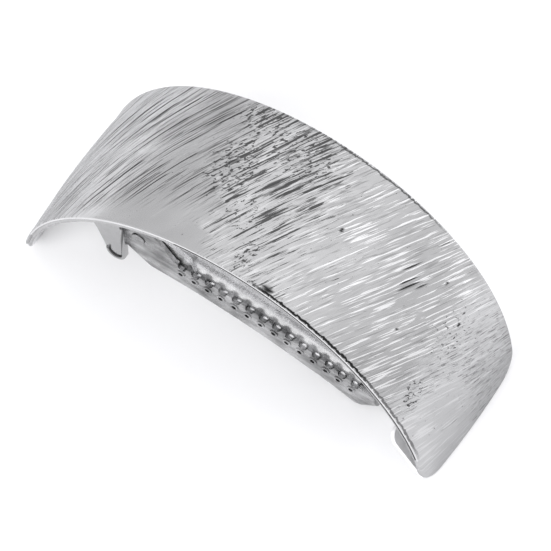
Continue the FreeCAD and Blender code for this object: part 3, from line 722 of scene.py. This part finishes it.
def make_cuff():
    """The cuff as one closed sheet: outer face, rim and inside face."""
    theta = column_angles(COLUMNS, CORNER_COLUMNS, ROUNDING)
    t = np.linspace(-1.0, 1.0, ROWS)
    level_s = RADIUS * np.repeat(theta[:, None], ROWS, 1)
    level_y = half_width(height_at(theta), ROUNDING)[:, None] * t[None, :]
    lean = np.tan(np.radians(stroke_angle(level_s))) * (1.0 - soft_step(np.abs(level_s), *LEAN_FADE))
    s = level_s + level_y * lean
    half = half_width(height_at(s / RADIUS), ROUNDING)
    y = half * t[None, :]
    waves = undulation(s, y)
    waves = waves - waves.max()
    edge = np.minimum(half - np.abs(y), S_END - np.abs(s))
    carved = relief_at(s, y) * np.clip(edge / GROOVE_FADE, 0.0, 1.0)
    depths = -(carved + waves * np.clip(edge / WAVE_FADE, 0.0, 1.0))
    outer = place(s / RADIUS, y, depths, ROUNDING).reshape(-1, 3)
    points = [outer]
    faces = [grid_faces(COLUMNS, ROWS, 0)]

    border = perimeter(COLUMNS, ROWS)
    border_column = border // ROWS
    side = t[border % ROWS]
    border_s = s.ravel()[border]
    shift = (border_s - level_s.ravel()[border]) / RADIUS

    def ring(inset, depth):
        """The rim's points at one inset and depth, once round."""
        angles = column_angles(COLUMNS, CORNER_COLUMNS, inset)[border_column] + shift
        return place(angles, half_width(height_at(angles), inset) * side, depth, inset)

    profile = rim_profile()
    total = len(outer)
    last = border
    for inset, depth in profile:
        here = np.arange(len(border)) + total
        points.append(ring(inset, depth))
        total += len(border)
        faces.append(np.stack([last, here, np.roll(here, -1), np.roll(last, -1)], -1))
        last = here
    rim_shares = loop_shares(points[-1])
    inside = inside_points()
    points.append(inside)
    faces.append(grid_faces(INSIDE_COLUMNS, INSIDE_ROWS, total, flip=True))
    inside_border = perimeter(INSIDE_COLUMNS, INSIDE_ROWS)
    triangles = zip_loops(last, inside_border + total, rim_shares, loop_shares(inside[inside_border]))

    mesh = bpy.data.meshes.new("cuff_sheet")
    polygons = [face for part in faces for face in part.tolist()]
    polygons += [tuple(int(v) for v in face) for face in triangles]
    mesh.from_pydata((np.concatenate(points) * MM).tolist(), [], polygons)
    mesh.update()
    for material in CUFF_METALS:
        mesh.materials.append(material)
    row_metal = [sum(depth > step for step in RIM_STEPS) for _, depth in profile]
    rim_metal = np.repeat(row_metal, len(border)).reshape(len(profile), len(border))
    rim_metal[(rim_metal == CREASE) & (border_s < CREASE_START)] = EDGE
    rim_metal[:, np.abs(border_s) > POLISHED_RIM_END] = FACE
    rim_start = len(faces[0])
    rim_end = rim_start + rim_metal.size
    index = np.full(len(mesh.polygons), LINING, np.int32)
    index[:rim_start] = FACE
    index[rim_start:rim_end] = rim_metal.ravel()
    add_attributes(mesh, s, y, half, border, [inset for inset, _ in profile])
    mesh.polygons.foreach_set("material_index", index)
    mesh.polygons.foreach_set("use_smooth", np.ones(len(mesh.polygons), bool))
    mesh.update()
    cuff = bpy.data.objects.new("cuff_sheet", mesh)
    bpy.context.scene.collection.objects.link(cuff)
    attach(cuff, "cuff_frame")
    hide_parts("cuff_plate")


make_cuff()

# ---------------------------------------------------------------- spring
# A coil round the pin with a straight leg on the shelf and a bent one on the lever; millimetres.
PIVOT = (-19.8, 13.0)
WIRE_RADIUS = 0.35
COIL_RADIUS = 1.75
COIL_TURNS = 4.5
COIL_PITCH = 0.78
COIL_LENGTH = COIL_TURNS * COIL_PITCH
LEVER_BEND = (-24.71, 11.25)
LEVER_END = (-27.6, 12.92)
SHELF_END_X = -23.2
WIRE_SIDES = 14
STEPS_PER_TURN = 36


def bend_points(start, corner, end, radius=0.5, count=6):
    """A corner of the wire's path, rounded."""
    start, corner, end = (np.array(p) for p in (start, corner, end))
    back = (start - corner) / np.linalg.norm(start - corner)
    ahead = (end - corner) / np.linalg.norm(end - corner)
    share = np.linspace(0.0, 1.0, count)[:, None]
    first = corner + back * radius
    last = corner + ahead * radius
    return first * (1 - share) ** 2 + 2 * corner * share * (1 - share) + last * share ** 2


def spring_path():
    """The wire's centre line: lever leg, bend, coil, shelf leg."""
    half = COIL_LENGTH / 2
    turn = np.linspace(0.0, 2 * math.pi * COIL_TURNS, int(COIL_TURNS * STEPS_PER_TURN) + 1)
    coil = np.stack([
        PIVOT[0] + COIL_RADIUS * np.sin(turn),
        half - COIL_LENGTH * turn / turn[-1],
        PIVOT[1] - COIL_RADIUS * np.cos(turn),
    ], -1)
    lever_end = (LEVER_END[0], half, LEVER_END[1])
    corner = (LEVER_BEND[0], half, LEVER_BEND[1])
    bend = bend_points(lever_end, corner, coil[0])
    shelf = [(SHELF_END_X, -half, PIVOT[1] + COIL_RADIUS)]
    path = [np.linspace(lever_end, bend[0], 8)[:-1], bend, np.linspace(bend[-1], coil[0], 14)[1:-1], coil]
    path.append(np.linspace(coil[-1], shelf[0], 10)[1:])
    return np.concatenate(path)


def make_spring():
    """A round wire along the path, closed at both ends."""
    path = spring_path()
    ahead = np.gradient(path, axis=0)
    ahead /= np.linalg.norm(ahead, axis=1)[:, None]
    side = np.array([0.0, 1.0, 0.0])
    rings = []
    for centre, direction in zip(path, ahead):
        side = side - direction * side.dot(direction)
        side /= np.linalg.norm(side)
        other = np.cross(direction, side)
        angles = np.linspace(0, 2 * math.pi, WIRE_SIDES, endpoint=False)[:, None]
        rings.append(centre + WIRE_RADIUS * (np.cos(angles) * side + np.sin(angles) * other))
    vertices = np.concatenate(rings + [path[:1], path[-1:]])
    faces = []
    for i in range(len(path) - 1):
        for j in range(WIRE_SIDES):
            k = (j + 1) % WIRE_SIDES
            a, b = i * WIRE_SIDES, (i + 1) * WIRE_SIDES
            faces.append((a + j, a + k, b + k, b + j))
    first, last = len(vertices) - 2, len(vertices) - 1
    tail = (len(path) - 1) * WIRE_SIDES
    for j in range(WIRE_SIDES):
        k = (j + 1) % WIRE_SIDES
        faces.append((first, k, j))
        faces.append((last, tail + j, tail + k))
    mesh = bpy.data.meshes.new("spring_wire")
    mesh.from_pydata((vertices * MM).tolist(), [], faces)
    mesh.materials.append(WIRE_METAL)
    mesh.polygons.foreach_set("use_smooth", np.ones(len(mesh.polygons), bool))
    mesh.update()
    spring = bpy.data.objects.new("torsion_spring", mesh)
    bpy.context.scene.collection.objects.link(spring)
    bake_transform(spring)
    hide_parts("hinge_spring")


make_spring()

# ---------------------------------------------------------------- carried-over pieces
FINISH = {
    "upper_jaw": UPPER_METAL,
    "front_anchor_plate": ANCHOR_METAL,
    "rear_strut": CLIP_METAL,
    "lower_jaw": TOOTH_METAL,
    "near_finger_tab": TAB_METAL,
    "far_finger_tab": TAB_METAL,
    "hinge_pin": PIN_METAL,
    "front_solder": SOLDER_METAL,
    "rear_solder": SOLDER_METAL,
    "tongue_solder": SOLDER_METAL,
}


def finish_node(name, material):
    """Give a carried-over piece its metal."""
    piece = NODES[name]
    if piece.material_slots:
        for material_slot in piece.material_slots:
            material_slot.material = material
    else:
        piece.data.materials.append(material)


for node_name, node_material in FINISH.items():
    finish_node(node_name, node_material)

# ---------------------------------------------------------------- floor and light
FLOOR_TONE = 0.93
FLOOR_HALF = 1.5


def make_floor():
    """A wide pale table top."""
    mesh = bpy.data.meshes.new("floor")
    corners = [(x * FLOOR_HALF, y * FLOOR_HALF, 0) for x, y in ((-1, -1), (1, -1), (1, 1), (-1, 1))]
    mesh.from_pydata(corners, [], [(0, 1, 2, 3)])
    material = bpy.data.materials.new("pale_floor")
    material.use_nodes = True
    n = Nodes(material.node_tree)
    shader = n.add("ShaderNodeBsdfPrincipled", Base_Color=grey(FLOOR_TONE), Roughness=0.9)
    n.add("ShaderNodeOutputMaterial", Surface=shader.outputs[0])
    mesh.materials.append(material)
    floor = bpy.data.objects.new("floor", mesh)
    bpy.context.scene.collection.objects.link(floor)


make_floor()

ROOM_TONE = 0.97
# Patches of the room that the metal mirrors: direction, inner and outer half-angle in degrees, tone.
PATCHES = [
    ((-0.25, 0.75, 0.60), 6, 20, 0.45),
    ((0.39, 0.41, 0.82), 4, 22, 1.12),
    ((-0.85, 0.30, 0.40), 6, 24, 0.85),
]


def make_room():
    """A pale room with soft-edged patches."""
    world = bpy.data.worlds.new("room")
    bpy.context.scene.world = world
    world.use_nodes = True
    n = Nodes(world.node_tree)
    direction = n.add("ShaderNodeTexCoord").outputs["Generated"]
    colour = grey(ROOM_TONE)
    for toward, inner, outer, tone in PATCHES:
        toward = Vector(toward).normalized()
        dot = n.add("ShaderNodeVectorMath", {"operation": "DOT_PRODUCT"}, i0=direction, i1=toward)
        settings = {"interpolation_type": "SMOOTHSTEP"}
        share = n.add("ShaderNodeMapRange", settings, Value=dot.outputs["Value"])
        share.inputs["From Min"].default_value = math.cos(math.radians(outer))
        share.inputs["From Max"].default_value = math.cos(math.radians(inner))
        colour = n.mix(share.outputs[0], colour, grey(tone))
    background = n.add("ShaderNodeBackground", Color=colour, Strength=1.0)
    n.add("ShaderNodeOutputWorld", Surface=background.outputs[0])


make_room()


def make_lamp(name, toward, distance, size, power):
    """A large soft lamp that the metal does not mirror."""
    data = bpy.data.lights.new(name, "AREA")
    data.shape = "DISK"
    data.size = size
    data.energy = power
    lamp = bpy.data.objects.new(name, data)
    lamp.visible_glossy = False
    bpy.context.scene.collection.objects.link(lamp)
    toward = Vector(toward).normalized()
    turn = toward.to_track_quat("Z", "Y").to_matrix().to_4x4()
    lamp.matrix_world = Matrix.Translation(toward * distance) @ turn


make_lamp("near_fill", (-0.2, -0.85, 0.5), distance=1.2, size=0.9, power=12.0)
make_lamp("far_fill", (0.2, 0.85, 0.5), distance=1.2, size=0.9, power=6.0)

bpy.context.scene.view_settings.view_transform = "Standard"
